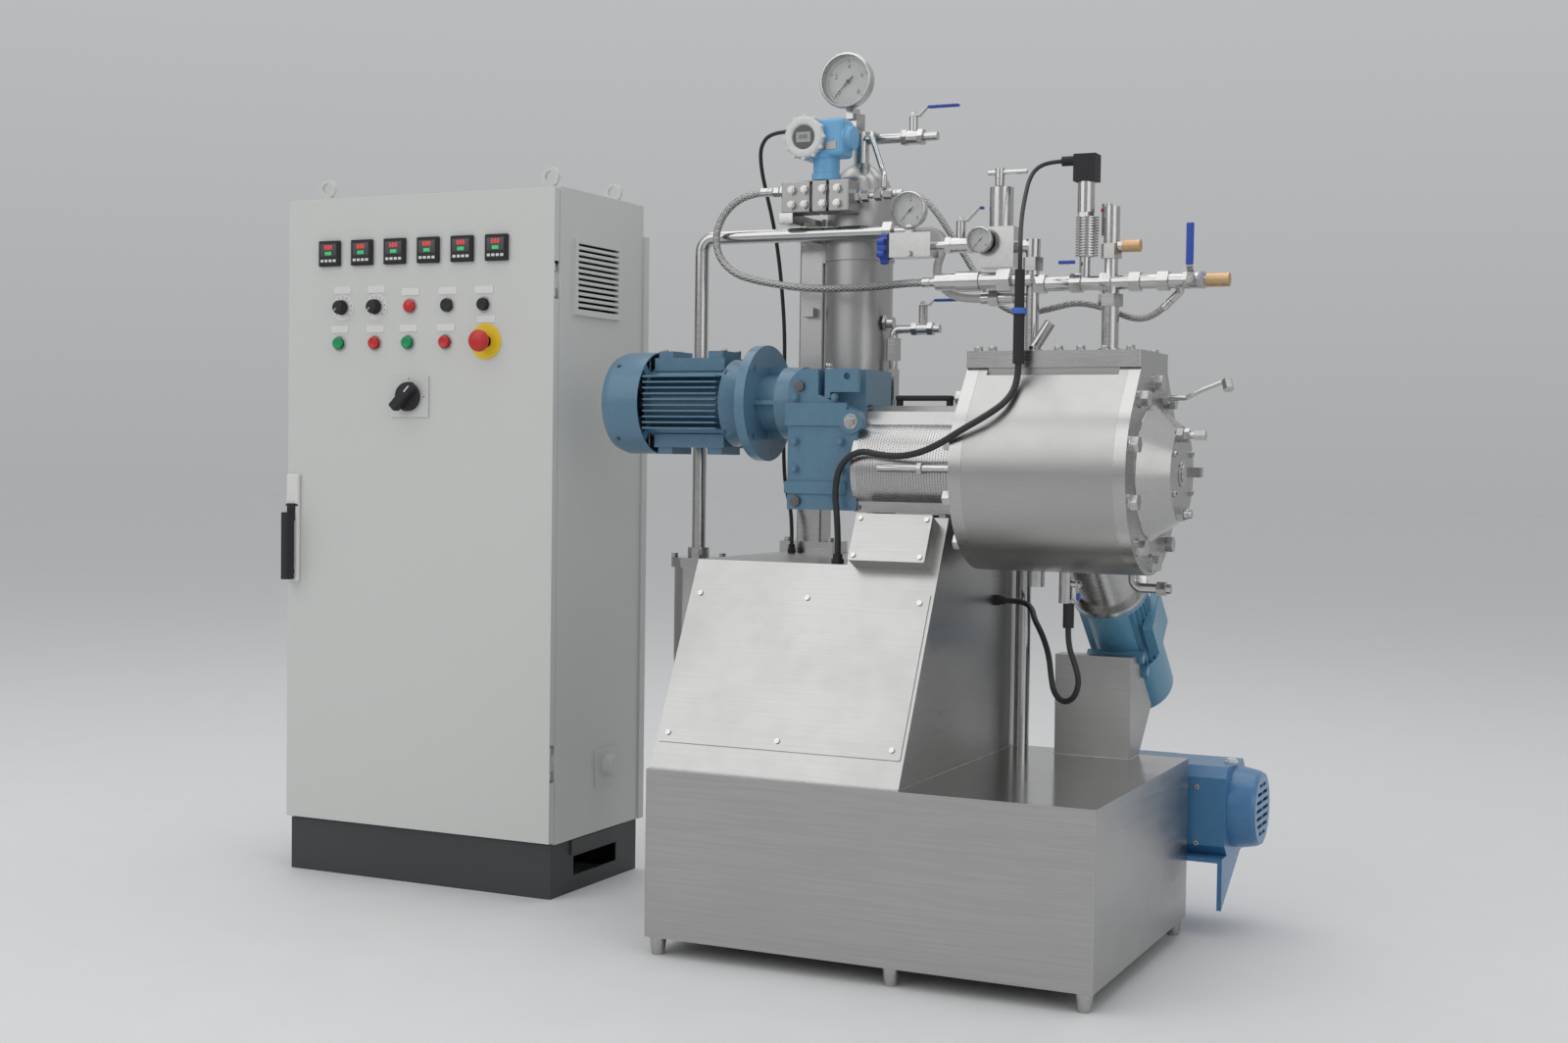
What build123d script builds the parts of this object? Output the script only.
from build123d import *
import math
import os

# Paddle mixer dryer on a sheet metal skid, with its control cabinet standing beside it.
# Machine frame, millimetres: x runs along the skid from its right end face, y runs back from its
# front face, z runs up from the floor. The saved parts are moved so that the front right
# levelling foot stands on the origin.

# Skid base
base_length = 756
base_depth = 570
base_top = 305
foot_height = 30
sheet = 3
foot_inset = 18
foot_middle_x = -327
foot_top_radius = 13.5
foot_bottom_radius = 10
foot_stud_radius = 5
rail_width = 40
rail_thickness = 5

# Drive cover
cover_right = -318
bay_left = -480
cover_front = 15
cover_slope = 26
cover_height = 335
bay_height = 415
panel_thickness = 2
panel_margin = 16
panel_start = 46
panel_length = 280
panel_gap = 4
terminal_box_width = 134
terminal_box_length = 84
terminal_box_height = 32
terminal_box_start = 368
terminal_box_left = -467

# Instrument column
column_size = 50
column_wall = 3
column_x = -698
column_y = 525
column_top = 1250
column_plate = 70
column_plate_width = 106
column_plate_height = 21

# Drive train
shaft_y = 285
shaft_z = 798
motor_z = 908
lay_y = 304.8
lay_z = 859.9
output_teeth = 38
lay_pinion_teeth = 14
output_module = 2.5
lay_gear_teeth = 36
motor_pinion_teeth = 16
motor_module = 2
tooth_share = 0.36
output_gear_x = -584
output_gear_width = 24
lay_gear_x = -550
lay_gear_width = 16
gear_overlap = 2
fit = 0.05
running_gap = 1.0

# Gearbox
gearbox_left = -607
gearbox_right = -480
gearbox_front = 212
gearbox_rear = 358
gearbox_bottom = 728
gearbox_top = 964
gearbox_wall = 10
output_shaft_radius = 15
lay_shaft_radius = 8
motor_shaft_radius = 12
output_bearing_radius = 27.5
lay_bearing_radius = 14
bearing_width = 10

# Mixer motor
flange_radius = 100
flange_thickness = 9
flange_x = -687
neck_radius = 48
frame_radius = 66
frame_left = -890
frame_right = -739
fan_cover_radius = 90
fan_cover_left = -974
fin_reach = 78
fin_pitch = 10
fin_thickness = 3
fin_count = 10

# Lantern between gearbox and vessel
lantern_flange_radius = 65
lantern_flange_thickness = 12
tie_bar_radius = 9
tie_bar_offset = 37
coupling_radius = 32
coupling_left = -448
coupling_length = 36
spider_length = 10
plate_left = -286
plate_thickness = 22

# Vessel
vessel_radius = 163
vessel_flat_half = 80
vessel_top = 963
bore_radius = 120
drum_wall = 6
ring_thickness = 14
right_seam = -20
skin_thickness = 2.5
neck_left = -235
neck_right = -50
neck_half = 45
neck_wall = 6
top_plate = 12
mixer_shaft_radius = 20
shaft_seat_radius = 15
blade_reach = 115
bolt_circle = 143
end_bolt_count = 10
end_bolt_radius = 8
end_bolt_flats = 24
end_bolt_head = 12
washer_thickness = 3
cone_base_radius = 108
cone_face_radius = 75
cone_face_x = 47
lid_height = 27
lid_front = 201
lid_rear = 369
lid_bolt_radius = 4
lid_bolt_xs = (-270, -246, -180, -136, -100, -60, -20)

# Chopper, on a slanted axis under the vessel
chopper_x = -130
chopper_angle = 48
chopper_nozzle_radius = 32
chopper_shaft_radius = 10
collar_radius = 57
collar_start = 145
collar_end = 300
chopper_frame_radius = 56
chopper_frame_end = 470
chopper_fan_end = 575
chopper_fan_radius = 63
pedestal_offset = 66
pedestal_left = -222
pedestal_right = -88
pedestal_front = 500
pedestal_top = 480
pedestal_low = 384
pedestal_back = 566

# Vacuum pump
pump_y = 665
pump_z = 212
pump_half = 77
pump_left = -190
pump_split = -60
pump_shoulder = 60
pump_right = 108
pump_nose_radius = 62
pump_wall = 6
shelf_thickness = 8

# Filter and process pipes
filter_x = -602
filter_y = 500
filter_radius = 60
filter_bottom = 850
filter_shoulder = 1290
filter_dome = 1345
riser_radius = 14
riser_top = 1403
branch_z = 1389
line_y = 320
line_z = 1174
manifold_z = 1105
supply_radius = 12.5
supply_y = 424
supply_z = 1214
supply_x = -885
receiver_top = 629
left_pipe_x = -216
right_pipe_x = -84
nipple_radius = 7
stem_radius = 5
lever_thickness = 3
transmitter_x = -659
transmitter_y = 410

# Cabinet
cabinet_left = -1694
cabinet_width = 600
cabinet_front = 249
cabinet_back = 577
cabinet_bottom = 100
cabinet_top = 1300
carcass_front = 269
door_gap = 3
cabinet_sheet = 2
hinge_x = -1101
hinge_y = 256
hinge_pin_radius = 3
door_fitting_radius = 11
controller_size = 48
controller_pitch = 75.6
controller_x = -1593
controller_z = 1191
upper_row_z = 1088
lower_row_z = 1020
dial_xs = (-1564, -1486)
lamp_x = -1408
buzzer_x = -1324
reset_x = -1244
push_xs = (-1571, -1488, -1412, -1328)
stop_x = -1239
switch_x = -1407.5
switch_z = 918.5
handle_x = -1676
handle_low = 562
handle_high = 770


def saved(piece, name):
    """Labels a piece, moves it so that the front right foot is the origin, and writes it."""
    moved = Pos(foot_inset, -foot_inset, 0) * piece.part
    moved.label = name
    export_step(moved, "parts/" + name + ".step")
    return moved


def saved_cord(piece, name, radius, length, radii):
    """Writes a cord and prints its bend radii and how its volume compares with its length."""
    volume = piece.part.volume
    ideal = math.pi * radius**2 * length
    share = round(volume / ideal, 4)
    print(name, "length", round(length), "radii", [round(r) for r in radii], "volume", share)
    return saved(piece, name)


# Planes that face along the axes, from a point

def facing_right(x, y, z):
    return Plane(origin=(x, y, z), x_dir=(0, 1, 0), z_dir=(1, 0, 0))


def facing_left(x, y, z):
    return Plane(origin=(x, y, z), x_dir=(0, -1, 0), z_dir=(-1, 0, 0))


def facing_front(x, y, z):
    return Plane(origin=(x, y, z), x_dir=(1, 0, 0), z_dir=(0, -1, 0))


def facing_back(x, y, z):
    return Plane(origin=(x, y, z), x_dir=(-1, 0, 0), z_dir=(0, 1, 0))


def facing_up(x, y, z):
    return Plane(origin=(x, y, z), x_dir=(1, 0, 0), z_dir=(0, 0, 1))


def facing_down(x, y, z):
    return Plane(origin=(x, y, z), x_dir=(1, 0, 0), z_dir=(0, 0, -1))


def spun(plane, angle):
    """The same plane turned about its own normal."""
    turned_x = plane.x_dir.rotate(Axis((0, 0, 0), plane.z_dir), angle)
    return Plane(origin=plane.origin, x_dir=turned_x, z_dir=plane.z_dir)


def slope_plane(x, upslope):
    """Plane on the sloping front of the drive cover."""
    lean = math.radians(cover_slope)
    return Plane(
        origin=(x, cover_front + upslope * math.sin(lean), base_top + upslope * math.cos(lean)),
        x_dir=(1, 0, 0),
        z_dir=(0, -math.cos(lean), math.sin(lean)),
    )


def chopper_plane(distance, side=0.0):
    """Plane square to the chopper axis, at a distance from the vessel axis."""
    lean = math.radians(chopper_angle)
    out = (math.sin(lean), -math.cos(lean))
    down = (-math.cos(lean), -math.sin(lean))
    return Plane(
        origin=(
            chopper_x,
            shaft_y + distance * out[0] + side * down[0],
            shaft_z + distance * out[1] + side * down[1],
        ),
        x_dir=(1, 0, 0),
        z_dir=(0, out[0], out[1]),
    )


# Shapes that are added to, or cut from, the piece being made

def rod(plane, radius, length, mode=Mode.ADD):
    with BuildSketch(plane) as profile:
        Circle(radius)
    extrude(profile.sketch, amount=length, mode=mode)


def tube(plane, outer, inner, length):
    with BuildSketch(plane) as profile:
        Circle(outer)
        Circle(inner, mode=Mode.SUBTRACT)
    extrude(profile.sketch, amount=length)


def hexagon(plane, across_flats, length):
    with BuildSketch(plane) as profile:
        RegularPolygon(across_flats / 2, 6, major_radius=False)
    extrude(profile.sketch, amount=length)


def plate(plane, width, height, thickness, corner=0.0, mode=Mode.ADD):
    with BuildSketch(plane) as profile:
        if corner:
            RectangleRounded(width, height, corner)
        else:
            Rectangle(width, height)
    extrude(profile.sketch, amount=thickness, mode=mode)


def block(x_pair, y_pair, z_pair, mode=Mode.ADD):
    middle = [(pair[0] + pair[1]) / 2 for pair in (x_pair, y_pair, z_pair)]
    size = [pair[1] - pair[0] for pair in (x_pair, y_pair, z_pair)]
    with Locations(tuple(middle)):
        Box(*size, mode=mode)


def turned(start, outline, mode=Mode.ADD):
    """Turned shape whose outline is pairs of distance along the axis and radius."""
    side = Plane(origin=start.origin, x_dir=start.z_dir, z_dir=start.x_dir)
    points = list(outline)
    if points[0][1] > 0:
        points.insert(0, (points[0][0], 0))
    if points[-1][1] > 0:
        points.append((points[-1][0], 0))
    with BuildSketch(side) as profile:
        with BuildLine():
            Polyline(*points, close=True)
        make_face()
    revolve(profile.sketch, axis=Axis(start.origin, start.z_dir), mode=mode)


def bent_rod(points, radius, bend, mode=Mode.ADD):
    """Round bar along a path with rounded corners."""
    first = Vector(*points[1]) - Vector(*points[0])
    with BuildLine() as route:
        FilletPolyline(*points, radius=bend)
    with BuildSketch(Plane(origin=points[0], z_dir=first.normalized())) as profile:
        Circle(radius)
    sweep(profile.sketch, path=route.line, mode=mode)


def bolt(plane, radius, flats, head, shank, washer=0.0):
    """Hexagon bolt: the head stands up from the plane and the shank goes down."""
    if washer:
        rod(plane, flats * 0.62, washer)
    hexagon(plane.offset(washer), flats, head)
    rod(plane.offset(-shank), radius, shank)


def screw(plane, radius, head_radius, head, shank):
    """Round headed screw with its shank below the plane."""
    rod(plane, head_radius, head)
    rod(plane.offset(-shank), radius, shank)


def drill(plane, radius, depth):
    rod(plane.offset(-depth), radius, depth, mode=Mode.SUBTRACT)


def cord(points, radius):
    """Cord along hand chosen points, with the largest even bends that the runs allow."""
    spots = [Vector(*p) for p in points]
    radii = []
    for before, here, after in zip(spots, spots[1:], spots[2:]):
        turn = (here - before).get_angle(after - here)
        shorter = min((here - before).length, (after - here).length)
        radii.append(0.45 * shorter / math.tan(math.radians(turn / 2)))
    with BuildPart() as made:
        with BuildLine() as route:
            FilletPolyline(*points, radius=radii)
        with BuildSketch(Plane(origin=points[0], z_dir=(spots[1] - spots[0]).normalized())):
            Circle(radius)
        sweep()
    return made, sum(edge.length for edge in route.edges()), radii


def end_outline(half_flat, radius, top):
    """Outline of the vessel ends: a circle drawn up to a flat top. Drawn about the shaft axis."""
    height = top - shaft_z
    reach = math.hypot(half_flat, height)
    angle = math.atan2(height, half_flat) - math.acos(radius / reach)
    touch = (radius * math.cos(angle), radius * math.sin(angle))
    with BuildLine() as outline:
        Line((-half_flat, height), (half_flat, height))
        Line((half_flat, height), touch)
        ThreePointArc(touch, (0, -radius), (-touch[0], touch[1]))
        Line((-touch[0], touch[1]), (-half_flat, height))
    make_face(outline.edges())


def end_plate(x, thickness, shrink=0.0, mode=Mode.ADD):
    with BuildSketch(facing_right(x, shaft_y, shaft_z)) as profile:
        end_outline(vessel_flat_half - shrink, vessel_radius - shrink, vessel_top)
    extrude(profile.sketch, amount=thickness, mode=mode)


def gear_teeth(plane, teeth, module, width, first_angle):
    """Spur gear blank with straight sided teeth. One tooth points at first_angle."""
    pitch_radius = teeth * module / 2
    root = pitch_radius - 1.25 * module
    tip = pitch_radius + 0.9 * module
    tooth = math.pi * module * tooth_share
    rod(plane, root, width)
    with BuildSketch(plane) as profile:
        for index in range(teeth):
            with Locations(Rotation(0, 0, first_angle + index * 360 / teeth)):
                with BuildLine():
                    Polyline(
                        (root * 0.96, -tooth * 0.72),
                        (tip, -tooth * 0.22),
                        (tip, tooth * 0.22),
                        (root * 0.96, tooth * 0.72),
                        close=True,
                    )
                make_face()
    extrude(profile.sketch, amount=width)


gearbox_foot = base_top + cover_height
bay_top = base_top + bay_height
left_x = -base_length
foot_xs = (left_x + foot_inset, foot_middle_x, -foot_inset)
foot_ys = (foot_inset, base_depth - foot_inset)
feet = [(x, y) for x in foot_xs for y in foot_ys]
lean_factor = math.tan(math.radians(cover_slope))
plate_right = plate_left + plate_thickness
end_bolt_angles = [18 + 36 * k for k in range(end_bolt_count)]
end_bolts = [
    (bolt_circle * math.cos(math.radians(a)), bolt_circle * math.sin(math.radians(a)))
    for a in end_bolt_angles
]
column_half = column_size / 2
motor_bolt_circle = 82.5
motor_bolts = [
    (motor_bolt_circle * math.cos(math.radians(a)), motor_bolt_circle * math.sin(math.radians(a)))
    for a in (45, 135, 225, 315)
]
panel_left = left_x + panel_gap
panel_width = cover_right - left_x - panel_gap - 6
panel_screws = [
    (panel_left + dx, panel_start + du)
    for dx in (panel_margin, panel_width / 2, panel_width - panel_margin)
    for du in (panel_margin, panel_length - panel_margin)
]
box_screws = [
    (terminal_box_left + dx, terminal_box_start + du)
    for dx in (9, terminal_box_width - 9)
    for du in (9, terminal_box_length - 9)
]
lid_bolts = [(x, y) for x in lid_bolt_xs for y in (lid_front + 12, lid_rear - 12)]
vacuum_route = [
    (filter_x, filter_y, filter_bottom),
    (filter_x, filter_y, 785),
    (-293, 540, 785),
    (-293, 540, 235),
    (-293, 655, 235),
    (pump_left - 2, 655, 235),
]
vacuum_radius = 12


# Skid base, its feet and the drive cover

def make_skid_base():
    with BuildPart() as base:
        block((left_x, 0), (0, base_depth), (foot_height, base_top))
        fillet(base.edges().filter_by(Axis.Z), 5)
        inside = (foot_height, base_top - sheet)
        block((left_x + sheet, -sheet), (sheet, base_depth - sheet), inside, Mode.SUBTRACT)
        for y in (sheet, base_depth - sheet - rail_width):
            rail_top = foot_height + rail_thickness
            block((left_x + sheet, -sheet), (y, y + rail_width), (foot_height, rail_top))
        for x, y in feet:
            drill(facing_up(x, y, foot_height + rail_thickness), foot_stud_radius + fit, rail_thickness)
        bent_rod(vacuum_route, vacuum_radius + 0.3, 30, Mode.SUBTRACT)
        receiver_arm = (left_x - 190, left_x)
        block(receiver_arm, (supply_y - 30, supply_y + 30), (base_top - 40, base_top - 32))
        for y in (supply_y - 30, supply_y + 24):
            block(receiver_arm, (y, y + 6), (base_top - 110, base_top - 40))
    return base


def make_skid_feet():
    with BuildPart() as made:
        for x, y in feet:
            turned(
                facing_up(x, y, 0),
                [
                    (0, foot_bottom_radius),
                    (3, foot_bottom_radius + 1),
                    (foot_height - 6, foot_top_radius),
                    (foot_height, foot_top_radius),
                    (foot_height, foot_stud_radius),
                    (foot_height + 20, foot_stud_radius),
                ],
            )
    return made


def cover_profile(x_left, height, inset):
    """Side profile of the drive cover from its left face, pulled in by the sheet thickness."""
    front = cover_front + inset / math.cos(math.radians(cover_slope))
    top = height - inset
    low = -1 if inset else 0
    with BuildSketch(facing_right(x_left, 0, base_top)) as profile:
        with BuildLine():
            Polyline(
                (front + low * lean_factor, low),
                (base_depth - inset, low),
                (base_depth - inset, top),
                (front + top * lean_factor, top),
                close=True,
            )
        make_face()
    return profile.sketch


def make_drive_cover():
    with BuildPart() as cover:
        for left, height in ((left_x, cover_height), (bay_left, bay_height)):
            extrude(cover_profile(left, height, 0), amount=cover_right - left)
        for left, height in ((left_x, cover_height), (bay_left, bay_height)):
            hollow = cover_profile(left + sheet, height, sheet)
            extrude(hollow, amount=cover_right - left - 2 * sheet, mode=Mode.SUBTRACT)
        hatch = slope_plane(panel_left + panel_width / 2, panel_start + panel_length / 2)
        hatch_size = (panel_width - 2 * panel_margin - 20, panel_length - 2 * panel_margin - 20)
        plate(hatch.offset(-20), *hatch_size, 40, 8, Mode.SUBTRACT)
        for x, upslope in panel_screws + box_screws:
            drill(slope_plane(x, upslope), 2 + fit, 10)
        with Locations((column_x, column_y, gearbox_foot)):
            Box(column_size + 2, column_size + 2, 20, mode=Mode.SUBTRACT)
        block((-476, -324), (228, 352), (bay_top - 10, bay_top + 10), Mode.SUBTRACT)
        rod(facing_right(cover_right - 10, 457, 572), 6, 20, Mode.SUBTRACT)
        rod(facing_up(-505, 196, gearbox_foot - 10), 6, 20, Mode.SUBTRACT)
        rod(facing_up(-717, 470, gearbox_foot - 10), 5, 20, Mode.SUBTRACT)
    return cover


def make_cover_panel():
    with BuildPart() as panel:
        middle = slope_plane(panel_left + panel_width / 2, panel_start + panel_length / 2)
        plate(middle, panel_width, panel_length, panel_thickness, 3)
        for x, upslope in panel_screws:
            drill(slope_plane(x, upslope).offset(10), 2 + fit, 20)
    return panel


def make_terminal_box():
    with BuildPart() as box:
        middle = slope_plane(
            terminal_box_left + terminal_box_width / 2, terminal_box_start + terminal_box_length / 2
        )
        wall = 2
        lid = 3
        plate(middle, terminal_box_width, terminal_box_length, terminal_box_height - lid, 3)
        plate(
            middle.offset(wall),
            terminal_box_width - 2 * wall,
            terminal_box_length - 2 * wall,
            terminal_box_height,
            2,
            Mode.SUBTRACT,
        )
        plate(middle.offset(wall), 90, 24, 14)
        for x, upslope in box_screws:
            rod(slope_plane(x, upslope).offset(wall), 5, terminal_box_height - lid - wall)
        for x, upslope in box_screws:
            drill(slope_plane(x, upslope).offset(terminal_box_height), 2 + fit, terminal_box_height + 10)
    with BuildPart() as cap:
        plate(
            middle.offset(terminal_box_height - lid), terminal_box_width, terminal_box_length, lid, 3
        )
        for x, upslope in box_screws:
            drill(slope_plane(x, upslope).offset(terminal_box_height), 2 + fit, terminal_box_height)
    with BuildPart() as both:
        add(box.part)
        add(cap.part)
    return both


def make_instrument_column():
    with BuildPart() as column:
        with BuildSketch(facing_up(column_x, column_y, base_top)):
            RectangleRounded(column_size, column_size, 5)
            RectangleRounded(
                column_size - 2 * column_wall, column_size - 2 * column_wall, 3, mode=Mode.SUBTRACT
            )
        extrude(amount=column_top - base_top)
        plate(facing_up(column_x, column_y, column_top - 3), column_size - 8, column_size - 8, 3)
        for low, width, thickness in (
            (base_top, 76, 8),
            (gearbox_foot, column_plate_width, column_plate_height),
        ):
            with BuildSketch(facing_up(column_x, column_y, low)):
                Rectangle(width, column_plate)
                Rectangle(column_size - 2, column_size - 2, mode=Mode.SUBTRACT)
            extrude(amount=thickness)
        for dx in (-43, 43):
            top = gearbox_foot + column_plate_height
            drill(facing_up(column_x + dx, column_y - 20, top), 4 + fit, 15)
        arm_y = supply_y + supply_radius
        rest = (supply_z - 8, supply_z + 8)
        block((column_x - 14, column_x + 14), (arm_y, column_y - column_half), rest)
        column_front = column_y - column_half
        block((column_x - 11, column_x + 11), (column_front - 16, column_front), (1072, 1088))
        block((column_x - 14, column_x + 14), (transmitter_y + 25, column_y - column_half), (1238, 1248))
        rod(facing_right(column_x - 20, supply_y, supply_z), supply_radius, 40, Mode.SUBTRACT)
    return column


# Gearbox, motor and shafts

lay_angle = math.degrees(math.atan2(lay_z - shaft_z, lay_y - shaft_y))
motor_angle = math.degrees(math.atan2(motor_z - lay_z, shaft_y - lay_y))
output_gear_mid = output_gear_x + output_gear_width / 2


def make_gearbox():
    middle_y = (gearbox_front + gearbox_rear) / 2
    with BuildPart() as box:
        block((gearbox_left, gearbox_right), (gearbox_front, gearbox_rear), (gearbox_bottom, gearbox_top))
        top_left = box.edges().filter_by(Axis.Y).sort_by(lambda e: e.center().Z - e.center().X)[-1]
        fillet(top_left, 34)
        for low, high in ((869, 907), (755, 775)):
            block((gearbox_left - 4, -498), (gearbox_front - 4, gearbox_rear), (low, high))
        with BuildSketch(Plane(origin=(0, gearbox_front, 0), x_dir=(1, 0, 0), z_dir=(0, -1, 0))):
            with BuildLine():
                Polyline(
                    (-552, gearbox_top), (-480, gearbox_top), (-480, 893), (-552, 921), close=True
                )
            make_face()
        extrude(amount=-34, mode=Mode.SUBTRACT)
        block((-540, gearbox_right), (gearbox_front, gearbox_front + 10), (925, gearbox_top))
        block((-540, -530), (gearbox_front, gearbox_front + 34), (915, gearbox_top))
        rod(facing_back(-500, gearbox_front - 1, 951), 6, 12, Mode.SUBTRACT)
        rod(facing_right(gearbox_left - 33, shaft_y, motor_z), 62, 33)
        rod(facing_right(flange_x + flange_thickness, shaft_y, motor_z), neck_radius, 42)
        rod(facing_right(flange_x, shaft_y, motor_z), flange_radius, flange_thickness)
        for angle in (0, 90, 180, 270):
            side = facing_right(flange_x + flange_thickness, shaft_y, motor_z)
            plate(spun(side, angle), 2 * 62, 7, 40)
        inside_x = (gearbox_left + gearbox_wall, gearbox_right - gearbox_wall)
        inside_y = (gearbox_front + gearbox_wall, gearbox_rear - gearbox_wall)
        inside_z = (gearbox_bottom + gearbox_wall, 884)
        block(inside_x, inside_y, inside_z, Mode.SUBTRACT)
        rod(facing_right(inside_x[0], lay_y, lay_z), 42, inside_x[1] - inside_x[0], Mode.SUBTRACT)
        rod(facing_right(inside_x[0], shaft_y, motor_z), 30, 75, Mode.SUBTRACT)
        for x in (gearbox_left + 2, gearbox_right - 2 - bearing_width):
            rod(facing_right(x, shaft_y, shaft_z), output_bearing_radius, bearing_width, Mode.SUBTRACT)
            rod(facing_right(x, lay_y, lay_z), lay_bearing_radius, bearing_width, Mode.SUBTRACT)
        rod(facing_right(gearbox_right - 5, shaft_y, shaft_z), output_shaft_radius + 1, 10, Mode.SUBTRACT)
        rod(facing_right(flange_x - 1, shaft_y, motor_z), 36, 50, Mode.SUBTRACT)
        rod(facing_right(flange_x, shaft_y, motor_z), motor_shaft_radius + 1, 120, Mode.SUBTRACT)
        for y, z in motor_bolts:
            drill(facing_left(flange_x, shaft_y + y, motor_z + z).offset(1), 5.5, flange_thickness + 2)
        rod(facing_front(-490, gearbox_front + 15, 876), 20, 19)
    return box


def bearing(plane, outer, inner, width):
    tube(plane, outer, inner + fit, width)


def make_bearings_and_seals():
    with BuildPart() as made:
        for x in (gearbox_left + 2, gearbox_right - 2 - bearing_width):
            seat = facing_right(x, shaft_y, shaft_z)
            bearing(seat, output_bearing_radius, output_shaft_radius, bearing_width)
            bearing(facing_right(x, lay_y, lay_z), lay_bearing_radius, lay_shaft_radius, bearing_width)
        for x in (frame_left + 2, frame_right + 6):
            bearing(facing_right(x, shaft_y, motor_z), 24, motor_shaft_radius, bearing_width)
        bearing(facing_right(plate_left - 12, shaft_y, shaft_z), 40, mixer_shaft_radius, bearing_width)
        bearing(facing_right(plate_left + 6, shaft_y, shaft_z), 34, mixer_shaft_radius, plate_thickness - 8)
        bearing(facing_right(right_seam + 2, shaft_y, shaft_z), output_bearing_radius, shaft_seat_radius, 8)
        bearing(facing_right(right_seam + 14, shaft_y, shaft_z), output_bearing_radius, shaft_seat_radius, 12)
        bearing(chopper_plane(150), 20, chopper_shaft_radius, bearing_width)
        bearing(chopper_plane(126), 18, chopper_shaft_radius, 8)
        bearing(chopper_plane(collar_end + 2), 20, chopper_shaft_radius, bearing_width)
        bearing(chopper_plane(chopper_frame_end - 12), 20, chopper_shaft_radius, bearing_width)
        for x in (pump_split + 2, pump_shoulder - 12):
            bearing(facing_right(x, pump_y, pump_z), 20, 8, bearing_width)
    return made


def make_motor_housing():
    with BuildPart() as motor:
        rod(facing_right(frame_left, shaft_y, motor_z), frame_radius, frame_right - frame_left)
        for index in range(fin_count):
            z = motor_z + (index - (fin_count - 1) / 2) * fin_pitch
            block(
                (frame_left + 4, frame_right - 4),
                (shaft_y - fin_reach, shaft_y + fin_reach),
                (z - fin_thickness / 2, z + fin_thickness / 2),
            )
        for side in (-1, 1):
            pad = sorted((motor_z + side * 55, motor_z + side * 78))
            block((frame_left + 8, frame_right - 6), (shaft_y - 40, shaft_y + 40), pad)
            for x in (frame_left + 14, frame_right - 40):
                lump = sorted((motor_z + side * 70, motor_z + side * 90))
                block((x, x + 28), (shaft_y - 36, shaft_y + 36), lump)
        turned(
            facing_right(frame_right, shaft_y, motor_z),
            [(0, frame_radius), (0, 76), (24, 66), (flange_x - flange_thickness - frame_right, 62)],
        )
        rod(facing_right(flange_x - flange_thickness, shaft_y, motor_z), flange_radius, flange_thickness)
        rod(facing_right(frame_left + 12, shaft_y, motor_z), 60, frame_right - frame_left - 12, Mode.SUBTRACT)
        rod(facing_right(frame_left + 2, shaft_y, motor_z), 24, bearing_width, Mode.SUBTRACT)
        rod(facing_right(frame_right + 6, shaft_y, motor_z), 24, bearing_width, Mode.SUBTRACT)
        rod(facing_right(frame_left - 1, shaft_y, motor_z), motor_shaft_radius + 1, 210, Mode.SUBTRACT)
        for y, z in motor_bolts:
            drill(facing_left(flange_x - 20, shaft_y + y, motor_z + z), 5.5, 25)
            drill(facing_left(flange_x - 50, shaft_y + y, motor_z + z), 11, 41 - flange_thickness)
    with BuildPart() as cowl:
        reach = frame_left - fan_cover_left
        turned(
            facing_right(fan_cover_left, shaft_y, motor_z),
            [
                (0, fan_cover_radius - 22),
                (10, fan_cover_radius - 6),
                (26, fan_cover_radius),
                (reach, fan_cover_radius),
            ],
        )
        turned(
            facing_right(fan_cover_left + 2, shaft_y, motor_z),
            [
                (0, fan_cover_radius - 25),
                (10, fan_cover_radius - 9),
                (25, fan_cover_radius - 2),
                (reach, fan_cover_radius - 2),
            ],
            Mode.SUBTRACT,
        )
        for angle in range(0, 360, 30):
            with BuildSketch(facing_right(fan_cover_left - 1, shaft_y, motor_z)):
                with Locations(Rotation(0, 0, angle)):
                    with Locations((40, 0)):
                        Rectangle(36, 6)
            extrude(amount=6, mode=Mode.SUBTRACT)
        for angle in (45, 135, 225, 315):
            foot = spun(facing_right(frame_left - 8, shaft_y, motor_z), angle)
            tab_middle = (fan_cover_radius - 2 + frame_radius - 8) / 2
            with BuildSketch(foot):
                with Locations((tab_middle, 0)):
                    Rectangle(fan_cover_radius - 1 - frame_radius + 8, 14)
            extrude(amount=8)
    with BuildPart() as stator:
        tube(facing_right(-862, shaft_y, motor_z), 60, 38, 92)
    with BuildPart() as both:
        add(motor.part)
        add(cowl.part)
        add(stator.part)
    return both


def make_motor_rotor():
    shaft_left = -944
    lay_gear_right = lay_gear_x + lay_gear_width
    with BuildPart() as rotor:
        length = lay_gear_x - gear_overlap - shaft_left
        rod(facing_right(shaft_left, shaft_y, motor_z), motor_shaft_radius, length)
        rod(facing_right(-860, shaft_y, motor_z), 37, 88)
        rod(facing_right(-940, shaft_y, motor_z), 22, 30)
        for angle in range(0, 180, 30):
            with BuildSketch(spun(facing_right(-936, shaft_y, motor_z), angle)):
                Rectangle(156, 3)
            extrude(amount=22)
        gear_teeth(
            facing_right(lay_gear_x - gear_overlap, shaft_y, motor_z),
            motor_pinion_teeth,
            motor_module,
            lay_gear_width + 2 * gear_overlap,
            motor_angle + 180 + 180 / motor_pinion_teeth,
        )
        rod(facing_right(lay_gear_right, shaft_y, motor_z), 8, 6)
    return rotor


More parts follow.
